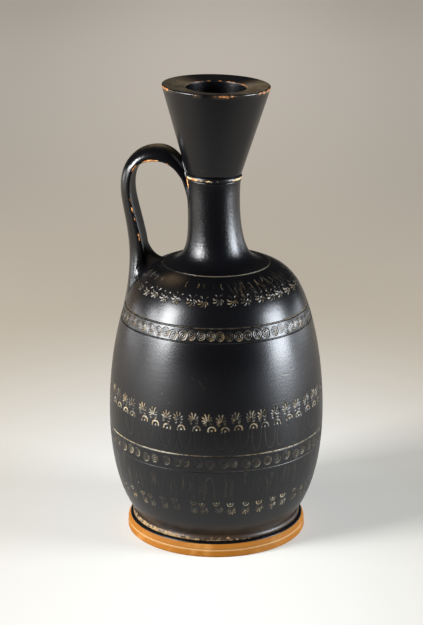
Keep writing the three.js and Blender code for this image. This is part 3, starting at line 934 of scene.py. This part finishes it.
def make_handle(grid, along, turn):
    rows, sides = grid.shape[:2]
    ends = grid[[0, -1]].mean(1)
    points = np.vstack([grid.reshape(-1, 3), ends])
    patches = grid_patches(rows, sides, False)
    last = (rows - 1) * sides
    patches += link_rings((len(points) - 2, 1, 0), (0, sides, 0))
    patches += link_rings((last, sides, 1), (len(points) - 1, 1, 1))
    worn_places = bump_at(
        along, (3.6, 4.8, 1), (-7, 1.5, 0.5), (13.2, 2.2, 1), (29, 3, 0.5), (34, 1.5, 0.85), (38.5, 1, 0.7),
        (45, 1, 0.7), (47, 0.9, 0.85))
    corner = near(np.degrees(turn), 188, 10) + 0.5 * near(np.degrees(turn), 342, 12)
    worn = np.r_[(worn_places[:, None] * corner[None, :]).ravel(), 0, 0]
    # Painted reflection: the inner face is painted brown for the brownish reflection it shows, and made
    # rougher.
    inside = np.r_[np.tile(near(np.degrees(turn), 275, 48), rows), 0, 0]
    # Painted sheen: a brown and pale band along the crest's near top face, for light from above and behind.
    painted_crest_sheen = near(along, -3, 9)[:, None] * near(np.degrees(turn), 102, 13)[None, :]
    painted_crest_sheen = np.r_[painted_crest_sheen.ravel(), 0, 0]
    marks = {
        **PLAIN_GLOSS, "chalk": 0.08 * painted_crest_sheen, "worn": np.clip(worn, 0, 1),
        "browned": 0.3 * inside + painted_crest_sheen, "matt": 0.4 * inside - 0.07}
    return mesh_piece("strap_handle", lean_with_wall(points), patches, marks)


def wall_crossing(grid, outline):
    """Where each side of a strap comes out of the wall: the place, counted in rows, and the point.

    A side that starts just outside the wall is drawn a little towards the strap's other end.
    """
    gap = wall_gap(grid, outline)
    first = np.argmax(gap > 0, axis=0)
    side = np.arange(grid.shape[1])
    share = gap[first - 1, side] / (gap[first - 1, side] - gap[first, side])
    foot = grid[first - 1, side] + share[:, None] * (grid[first, side] - grid[first - 1, side])
    return first - 1 + share, foot


def run_out(foot, outline, reach, turn):
    """Points on the wall, away from where the strap's sides meet it, by a reach for each side."""
    radius = np.hypot(foot[:, 0], foot[:, 1])
    around = np.arctan2(foot[:, 1], -foot[:, 0]) * radius
    flat = np.column_stack([around, np.interp(foot[:, 2], outline[:, 1], lengths(outline))])
    away = flat - (flat.max(0) + flat.min(0)) / 2
    away /= np.linalg.norm(away, axis=1)[:, None]
    straight = np.sqrt(np.abs(np.sin(turn)))[:, None]
    away = (1 - straight) * away + straight * np.sign(away) * (0, 1)
    away /= np.linalg.norm(away, axis=1)[:, None]
    end = flat + away * reach[:, None]
    end_radius, end_height = at_length(outline, end[:, 1]).T
    end_angle = end[:, 0] / radius
    return np.column_stack([-end_radius * np.cos(end_angle), end_radius * np.sin(end_angle), end_height])


def make_smear(name, grid, at_neck, strap_reach, wall_reach):
    """Clay drawn from the strap on to the wall: each side of the strap runs out on a curve.

    The reaches give how far the curve starts up the strap and ends along the wall, as functions of how
    far a side faces out of the loop: 1 on the outer face, 0 on the edges and -1 on the inner face.
    """
    outline = vessel_outline()
    rows, sides = grid.shape[:2]
    side = np.arange(sides)
    turn = side * TURN / sides
    order = grid if at_neck else grid[::-1]
    step = np.linalg.norm(np.diff(order.mean(1), axis=0), axis=1).mean()
    place, foot = wall_crossing(order, outline)
    start_row = np.clip(place + strap_reach(np.sin(turn)) / step, 0, rows - 2)
    low = start_row.astype(int)
    start = order[low, side] + (start_row - low)[:, None] * (order[low + 1, side] - order[low, side])
    start += SMEAR_SINK * (order[low].mean(1) - start)
    landing = run_out(foot, outline, wall_reach(np.sin(turn)), turn)
    shares = np.linspace(0, 1, SMEAR_ROWS)[:, None, None]
    skin = (1 - shares) ** 2 * start + 2 * shares * (1 - shares) * foot + shares ** 2 * landing
    buried = foot + SMEAR_HEART * (foot.mean(0) - foot) + (SMEAR_BURIED[0 if at_neck else 1], 0, 0)
    points = np.concatenate([skin, buried[None]]).reshape(-1, 3)
    patches = grid_patches(SMEAR_ROWS + 1, sides, True)
    down = np.r_[np.linspace(0, 1, SMEAR_ROWS), 1][:, None]
    # Painted reflection: the inner face is painted brown here, as on the strap.
    inside = ((1 - down) * near(np.degrees(turn), 275, 48)[None, :]).ravel()
    crease = (near(down, 0.6, 0.3) * near(np.degrees(turn), 165, 13)[None, :]).ravel()
    marks = {
        **PLAIN_GLOSS, "worn": crease if at_neck else 0.0, "browned": 0.3 * inside,
        "matt": 0.4 * inside - 0.03}
    return mesh_piece(name, lean_with_wall(points), patches, marks)


# Finishes

class Nodes:
    """Short calls that add and link shader nodes in one tree."""

    def __init__(self, tree):
        self.tree = tree

    def add(self, kind, settings=None, **inputs):
        node = self.tree.nodes.new("ShaderNode" + kind)
        for key, value in (settings or {}).items():
            setattr(node, key, value)
        for key, value in inputs.items():
            self.feed(node.inputs[key.replace("_", " ")], value)
        return node

    def feed(self, socket, value):
        if isinstance(value, bpy.types.NodeSocket):
            self.tree.links.new(value, socket)
        else:
            socket.default_value = value

    def math(self, operation, *values):
        node = self.add("Math", {"operation": operation})
        for socket, value in zip(node.inputs, values):
            self.feed(socket, value)
        return node.outputs[0]

    def times(self, first, second):
        return self.math("MULTIPLY", first, second)

    def plus(self, first, second):
        return self.math("ADD", first, second)

    def between(self, value, low, high):
        """0 at low and 1 at high, smooth between."""
        settings = {"interpolation_type": "SMOOTHSTEP"}
        node = self.add("MapRange", settings, Value=value, From_Min=low, From_Max=high)
        return node.outputs["Result"]

    def blend(self, share, first, second):
        node = self.add("Mix", {"data_type": "RGBA"})
        self.feed(node.inputs[0], share)
        self.feed(node.inputs[6], first)
        self.feed(node.inputs[7], second)
        return node.outputs[2]

    def noise(self, place, scale, detail=4.0, roughness=0.55):
        node = self.add("TexNoise", Vector=place, Scale=scale, Detail=detail, Roughness=roughness)
        return node.outputs[0]

    def place(self):
        return self.add("TexCoord").outputs["Object"]

    def mark(self, name):
        return self.add("Attribute", {"attribute_name": name}).outputs["Fac"]

    def group(self, tree, **inputs):
        return self.add("Group", {"node_tree": tree}, **inputs).outputs


def colour(red, green, blue):
    """A colour given as on screen, 0 to 255, as the linear value that a shader takes."""
    def linear(value):
        value /= 255
        return value / 12.92 if value <= 0.04045 else ((value + 0.055) / 1.055) ** 2.4
    return (linear(red), linear(green), linear(blue), 1)


def node_group(name, inputs, outputs):
    """An empty shader node group with float inputs given as name and default, and float outputs."""
    tree = bpy.data.node_groups.new(name, "ShaderNodeTree")
    for key, default in inputs.items():
        socket = tree.interface.new_socket(key, in_out="INPUT", socket_type="NodeSocketFloat")
        socket.default_value = default
    for key in outputs:
        tree.interface.new_socket(key, in_out="OUTPUT", socket_type="NodeSocketFloat")
    nodes = Nodes(tree)
    entry = tree.nodes.new("NodeGroupInput").outputs
    leave = tree.nodes.new("NodeGroupOutput").inputs
    return tree, nodes, entry, leave


def broken_wear_group():
    """Rubbed-through places: a painted mark, broken up into patches."""
    tree, nodes, entry, leave = node_group("broken wear", {"Mark": 0.0, "Scale": 600.0}, ["Mask"])
    patches = nodes.noise(nodes.place(), entry["Scale"], detail=5.0, roughness=0.6)
    swing = nodes.times(nodes.math("SUBTRACT", patches, 0.5), 1.5)
    level = nodes.plus(entry["Mark"], swing)
    level = nodes.times(level, nodes.between(entry["Mark"], 0.02, 0.2))
    nodes.feed(leave["Mask"], nodes.between(level, 0.38, 0.58))
    return tree


def clay_grain_group():
    """Fine grain and turning lines of fired clay."""
    tree, nodes, entry, leave = node_group("clay grain", {"Scale": 900.0}, ["Grain", "Turning"])
    place = nodes.place()
    nodes.feed(leave["Grain"], nodes.noise(place, entry["Scale"], detail=6.0, roughness=0.65))
    stretch = nodes.add("Mapping", {"vector_type": "POINT"}, Vector=place, Scale=(0.06, 0.06, 1.6))
    nodes.feed(leave["Turning"], nodes.noise(stretch.outputs["Vector"], entry["Scale"], detail=3.0))
    return tree


def pale_specks_group():
    """Scattered pale specks and small chips."""
    inputs = {"Scale": 160.0, "Size": 0.12, "Share": 0.2}
    tree, nodes, entry, leave = node_group("pale specks", inputs, ["Mask"])
    cells = nodes.add("TexVoronoi", {"feature": "F1"}, Vector=nodes.place(), Scale=entry["Scale"])
    chosen = nodes.add("SeparateColor", Color=cells.outputs["Color"])
    few = nodes.math("LESS_THAN", chosen.outputs[0], entry["Share"])
    size = nodes.times(entry["Size"], nodes.plus(chosen.outputs[1], 0.3))
    inside = nodes.math("LESS_THAN", cells.outputs["Distance"], size)
    nodes.feed(leave["Mask"], nodes.times(few, inside))
    return tree


def gloss_mottle_group():
    """Slow cloudiness, brush lines and dimples of a fired slip."""
    tree, nodes, entry, leave = node_group("gloss mottle", {"Scale": 60.0}, ["Cloud", "Brush", "Dimples"])
    place = nodes.place()
    nodes.feed(leave["Cloud"], nodes.noise(place, entry["Scale"], detail=5.0, roughness=0.6))
    stretch = nodes.add("Mapping", {"vector_type": "POINT"}, Vector=place, Scale=(0.25, 0.25, 3.0))
    nodes.feed(leave["Brush"], nodes.noise(stretch.outputs["Vector"], 260.0, detail=4.0, roughness=0.6))
    nodes.feed(leave["Dimples"], nodes.noise(place, 1100.0, detail=3.0, roughness=0.6))
    return tree


def new_material(name):
    material = bpy.data.materials.new(name)
    material.use_nodes = True
    shader = material.node_tree.nodes["Principled BSDF"]
    return material, Nodes(material.node_tree), shader


def set_surface(nodes, shader, base, rough, bump):
    """Links a finish's colour, roughness and bump to its shader."""
    nodes.feed(shader.inputs["Base Color"], base)
    nodes.feed(shader.inputs["Roughness"], rough)
    nodes.feed(shader.inputs["Normal"], bump.outputs["Normal"])


BLACK = (0, 0, 0, 1)
BLACK_SLIP = colour(6, 6, 8)
# Brown slip, also used to paint sheen on the rim's top and reflection on the handle.
BROWN_SLIP_AND_SHEEN = colour(84, 70, 53)
THIN_SLIP = colour(84, 60, 36)
RUBBED_SLIP = colour(112, 86, 54)
LIGHT_SLIP = colour(200, 178, 134)
CHALK = colour(208, 198, 170)
TAN_CHALK = colour(192, 164, 116)
WORN_CLAY = colour(156, 92, 44)
DULL_CLAY = colour(106, 60, 25)
PALE_CLAY = colour(222, 174, 108)
FOOT_CLAY = colour(114, 66, 10)
LIGHT_FOOT_CLAY = colour(135, 84, 18)
SPECK_CLAY = colour(110, 66, 36)
SLIP_IOR = 1.37


def black_gloss_material(groups):
    material, nodes, shader = new_material("black gloss slip")
    mottle = nodes.group(groups["mottle"], Scale=55.0)
    grain = nodes.group(groups["grain"], Scale=1100.0)
    worn = nodes.group(groups["wear"], Mark=nodes.mark("worn"), Scale=520.0)["Mask"]
    specks = nodes.group(groups["specks"], Scale=260.0, Size=0.08, Share=0.09)["Mask"]
    chalk_break = nodes.between(nodes.noise(nodes.place(), 420.0, detail=4.0, roughness=0.7), 0.3, 0.62)
    chalk = nodes.times(nodes.mark("chalk"), chalk_break)
    # The brown mark is real brown slip in places; on the rim's top and the handle's crest and inner face it
    # paints sheen and reflection.
    brown = nodes.times(nodes.mark("browned"), nodes.between(mottle["Cloud"], 0.3, 0.62))
    base = nodes.blend(brown, BLACK_SLIP, BROWN_SLIP_AND_SHEEN)
    # The pale mark is deposit in stamps and grooves; on the rim's top, the handle's crest and the volutes it
    # also paints sheen and highlights.
    deposit = nodes.blend(nodes.between(nodes.noise(nodes.place(), 300.0), 0.42, 0.6), TAN_CHALK, CHALK)
    base = nodes.blend(chalk, base, deposit)
    base = nodes.blend(nodes.times(specks, 0.3), base, CHALK)
    clay = nodes.blend(nodes.between(grain["Grain"], 0.45, 0.7), WORN_CLAY, PALE_CLAY)
    clay = nodes.blend(nodes.mark("browned"), clay, DULL_CLAY)
    base = nodes.blend(worn, base, clay)
    rough = nodes.math("MULTIPLY_ADD", mottle["Cloud"], 0.09, 0.205)
    rough = nodes.plus(rough, nodes.mark("matt"))
    rough = nodes.plus(rough, nodes.times(nodes.math("MAXIMUM", chalk, worn), 0.35))
    dimples = nodes.times(mottle["Dimples"], nodes.mark("dimpled"))
    relief = nodes.math("MULTIPLY_ADD", mottle["Brush"], 0.1, dimples)
    relief = nodes.plus(relief, nodes.times(worn, -0.4))
    bump = nodes.add("Bump", Strength=0.6, Distance=0.0004, Height=relief)
    set_surface(nodes, shader, base, rough, bump)
    shader.inputs["IOR"].default_value = SLIP_IOR
    return material


def reserved_clay_material(groups):
    material, nodes, shader = new_material("reserved clay")
    grain = nodes.group(groups["grain"], Scale=700.0)
    specks = nodes.group(groups["specks"], Scale=260.0, Size=0.16, Share=0.08)["Mask"]
    mottle = nodes.group(groups["mottle"], Scale=90.0)
    clay = nodes.blend(grain["Turning"], FOOT_CLAY, LIGHT_FOOT_CLAY)
    clay = nodes.blend(nodes.times(nodes.between(mottle["Cloud"], 0.5, 0.75), 0.16), clay, PALE_CLAY)
    clay = nodes.blend(nodes.times(nodes.mark("chalk"), 0.36), clay, LIGHT_SLIP)
    clay = nodes.blend(nodes.times(specks, 0.6), clay, SPECK_CLAY)
    ragged = nodes.times(nodes.math("SUBTRACT", grain["Grain"], 0.5), 0.5)
    slipped = nodes.between(nodes.plus(nodes.mark("slip"), ragged), 0.4, 0.55)
    base = nodes.blend(slipped, clay, BLACK_SLIP)
    rough = nodes.math("MULTIPLY_ADD", slipped, -0.4, 0.72)
    relief = nodes.plus(nodes.times(grain["Grain"], 0.4), nodes.times(grain["Turning"], 0.8))
    bump = nodes.add("Bump", Strength=0.25, Distance=0.0003, Height=relief)
    set_surface(nodes, shader, base, rough, bump)
    shader.inputs["Specular IOR Level"].default_value = 0.14
    return material


def luting_slip_material(groups):
    material, nodes, shader = new_material("worn luting slip")
    grain = nodes.group(groups["grain"], Scale=900.0)
    mottle = nodes.group(groups["mottle"], Scale=110.0)
    worn = nodes.group(groups["wear"], Mark=nodes.mark("worn"), Scale=600.0)["Mask"]
    browned = nodes.mark("browned")
    clay = nodes.blend(nodes.between(mottle["Cloud"], 0.55, 0.68), LIGHT_SLIP, WORN_CLAY)
    clay = nodes.blend(browned, clay, RUBBED_SLIP)
    base = nodes.blend(nodes.times(browned, 0.25), BLACK_SLIP, THIN_SLIP)
    base = nodes.blend(nodes.mark("chalk"), base, CHALK)
    base = nodes.blend(worn, base, clay)
    rough = nodes.math("MULTIPLY_ADD", worn, 0.4, 0.32)
    rough = nodes.plus(rough, nodes.times(browned, 0.12))
    bump = nodes.add("Bump", Strength=0.2, Distance=0.0003, Height=grain["Grain"])
    set_surface(nodes, shader, base, rough, bump)
    shader.inputs["IOR"].default_value = SLIP_IOR
    return material


# Floor, light and camera

# Floor tones near the pot, a little way off, far off and in front: the changes between them are painted
# falloff of the lamps' light, and the tone in front is painted shade.
NEAR_FLOOR = colour(230, 229, 223)
MIDDLE_FLOOR = colour(186, 175, 158)
FAR_FLOOR = colour(245, 234, 220)
FLOOR_AHEAD_SHADE = colour(48, 45, 42)
FLOOR_HALF_WIDTH = 8


def floor_material():
    """A pale sheet with painted light: white round the pot, painted shade darker behind and in front of it,
    and lighter again far off.

    Part of its paleness glows towards the camera and in reflections, a painted glow that lifts the lamps'
    shadows on it.
    """
    material, nodes, shader = new_material("pale floor")
    place = nodes.add(
        "VectorRotate", {"rotation_type": "Z_AXIS"}, Vector=nodes.place(), Angle=-CAMERA_AZIMUTH)
    place = nodes.add("SeparateXYZ", Vector=place.outputs["Vector"]).outputs
    behind = nodes.math("MAXIMUM", place["Y"], 0.0)
    ahead = nodes.math("SUBTRACT", nodes.times(place["Y"], -1.0), 0.08)
    ahead = nodes.math("MAXIMUM", ahead, 0.0)
    depth = nodes.plus(behind, ahead)
    aside = nodes.times(place["X"], 1.3)
    away = nodes.math("SQRT", nodes.plus(nodes.math("POWER", aside, 2.0), nodes.math("POWER", depth, 2.0)))
    painted_falloff_tone = nodes.blend(nodes.between(away, 0.0, 0.34), NEAR_FLOOR, MIDDLE_FLOOR)
    painted_falloff_tone = nodes.blend(nodes.between(away, 0.3, 1.3), painted_falloff_tone, FAR_FLOOR)
    # Painted shade: darker towards the far sides behind the pot.
    sides = nodes.between(nodes.math("ABSOLUTE", place["X"]), 0.02, 0.22)
    sides = nodes.times(sides, nodes.between(behind, 0.25, 0.7))
    painted_falloff_tone = nodes.blend(nodes.times(sides, 0.18), painted_falloff_tone, BLACK)
    # Painted shade: dark ahead of the pot, out of the picture, so the slip reflects little there.
    painted_falloff_tone = nodes.blend(nodes.between(ahead, 0.03, 0.2), painted_falloff_tone, FLOOR_AHEAD_SHADE)
    base = nodes.blend(0.46, painted_falloff_tone, BLACK)
    nodes.feed(shader.inputs["Base Color"], base)
    shader.inputs["Roughness"].default_value = 0.85
    shader.inputs["Specular IOR Level"].default_value = 0.2
    # Painted light: the floor's tone glows for camera, glossy and transmission rays, though it is no lamp.
    ray = nodes.add("LightPath").outputs
    seen = nodes.plus(ray["Is Camera Ray"], ray["Is Glossy Ray"])
    seen = nodes.math("MINIMUM", nodes.plus(seen, ray["Is Transmission Ray"]), 1.0)
    glow = nodes.blend(seen, BLACK, painted_falloff_tone)
    nodes.feed(shader.inputs["Emission Color"], glow)
    shader.inputs["Emission Strength"].default_value = 0.36
    return material


def make_floor():
    mesh = bpy.data.meshes.new("floor")
    side = FLOOR_HALF_WIDTH
    corners = [(-side, -side, 0), (side, -side, 0), (side, side, 0), (-side, side, 0)]
    mesh.from_pydata(corners, [], [(0, 1, 2, 3)])
    floor = bpy.data.objects.new("floor", mesh)
    floor.data.materials.append(floor_material())
    bpy.context.collection.objects.link(floor)


def make_softbox(name, azimuth, heights, width, radiance, tint):
    """A soft panel turned to the pot; its azimuth counts from the camera's side, more to the right."""
    around = FRONT + math.radians(azimuth)
    panel = bpy.data.lights.new(name, "AREA")
    panel.shape = "RECTANGLE"
    panel.size, panel.size_y = width, heights[1] - heights[0]
    panel.energy = radiance * math.pi * panel.size * panel.size_y
    panel.color = tint
    holder = bpy.data.objects.new(name, panel)
    holder.location = (
        SOFTBOX_DISTANCE * math.cos(around), SOFTBOX_DISTANCE * math.sin(around), sum(heights) / 2)
    holder.rotation_euler = (holder.location - Vector(SOFTBOX_AIM)).to_track_quat("Z", "Y").to_euler()
    holder.visible_camera = False
    bpy.context.collection.objects.link(holder)


def make_world():
    world = bpy.data.worlds.new("dim room")
    world.use_nodes = True
    back = world.node_tree.nodes["Background"]
    back.inputs["Color"].default_value = (0.04, 0.038, 0.036, 1)
    back.inputs["Strength"].default_value = 1
    bpy.context.scene.world = world


def make_camera():
    lens = bpy.data.cameras.new("camera")
    lens.lens = LENS_LENGTH
    lens.sensor_width = 36
    camera = bpy.data.objects.new("camera", lens)
    camera.location = Vector((
        CAMERA_DISTANCE * math.cos(FRONT), CAMERA_DISTANCE * math.sin(FRONT), CAMERA_HEIGHT)) * MM
    camera.rotation_euler = Euler((TURN / 4 - CAMERA_PITCH, 0, CAMERA_AZIMUTH + CAMERA_YAW))
    bpy.context.collection.objects.link(camera)
    bpy.context.scene.camera = camera


def make_top_smear(grid):
    """The smear at the neck runs out far inside the loop."""
    def reach(edge, inside):
        return lambda out: edge + np.where(out < 0, inside * -out, out)

    return make_smear("handle_top_smear", grid, True, reach(2.5, 5.5), reach(1.5, 8.5))


def make_root_smear(grid):
    """The smear on the shoulder runs out far on the inner face only, and a little on the outer one."""
    def reach(edge, inside, outside):
        return lambda out: edge + np.where(out < 0, inside * rise(-out, 0.75, 0.98), outside * out)

    return make_smear("handle_root_smear", grid, False, reach(8, 9, 5), reach(3, 9, 4))


def main():
    groups = {
        "wear": broken_wear_group(), "grain": clay_grain_group(),
        "specks": pale_specks_group(), "mottle": gloss_mottle_group()}
    gloss = black_gloss_material(groups)
    clay = reserved_clay_material(groups)
    luting = luting_slip_material(groups)
    finish_piece(make_body(), "body", gloss)
    finish_piece(make_foot(), "foot", clay)
    finish_piece(make_bead(), "foot_luting", luting)
    finish_piece(make_neck_slip(), "neck_luting", luting)
    finish_piece(make_neck(), "neck", gloss)
    finish_piece(make_ridge(), "mouth_luting", luting)
    finish_piece(make_mouth(), "mouth", gloss)
    grid, along, turn = strap_grid()
    finish_piece(make_handle(grid, along, turn), "handle", gloss)
    finish_piece(make_top_smear(grid), "handle_top_luting", gloss)
    finish_piece(make_root_smear(grid), "handle_root_luting", gloss)
    make_floor()
    for softbox in SOFTBOXES:
        make_softbox(*softbox)
    make_world()
    make_camera()
    bpy.context.scene.view_settings.view_transform = "Standard"


main()
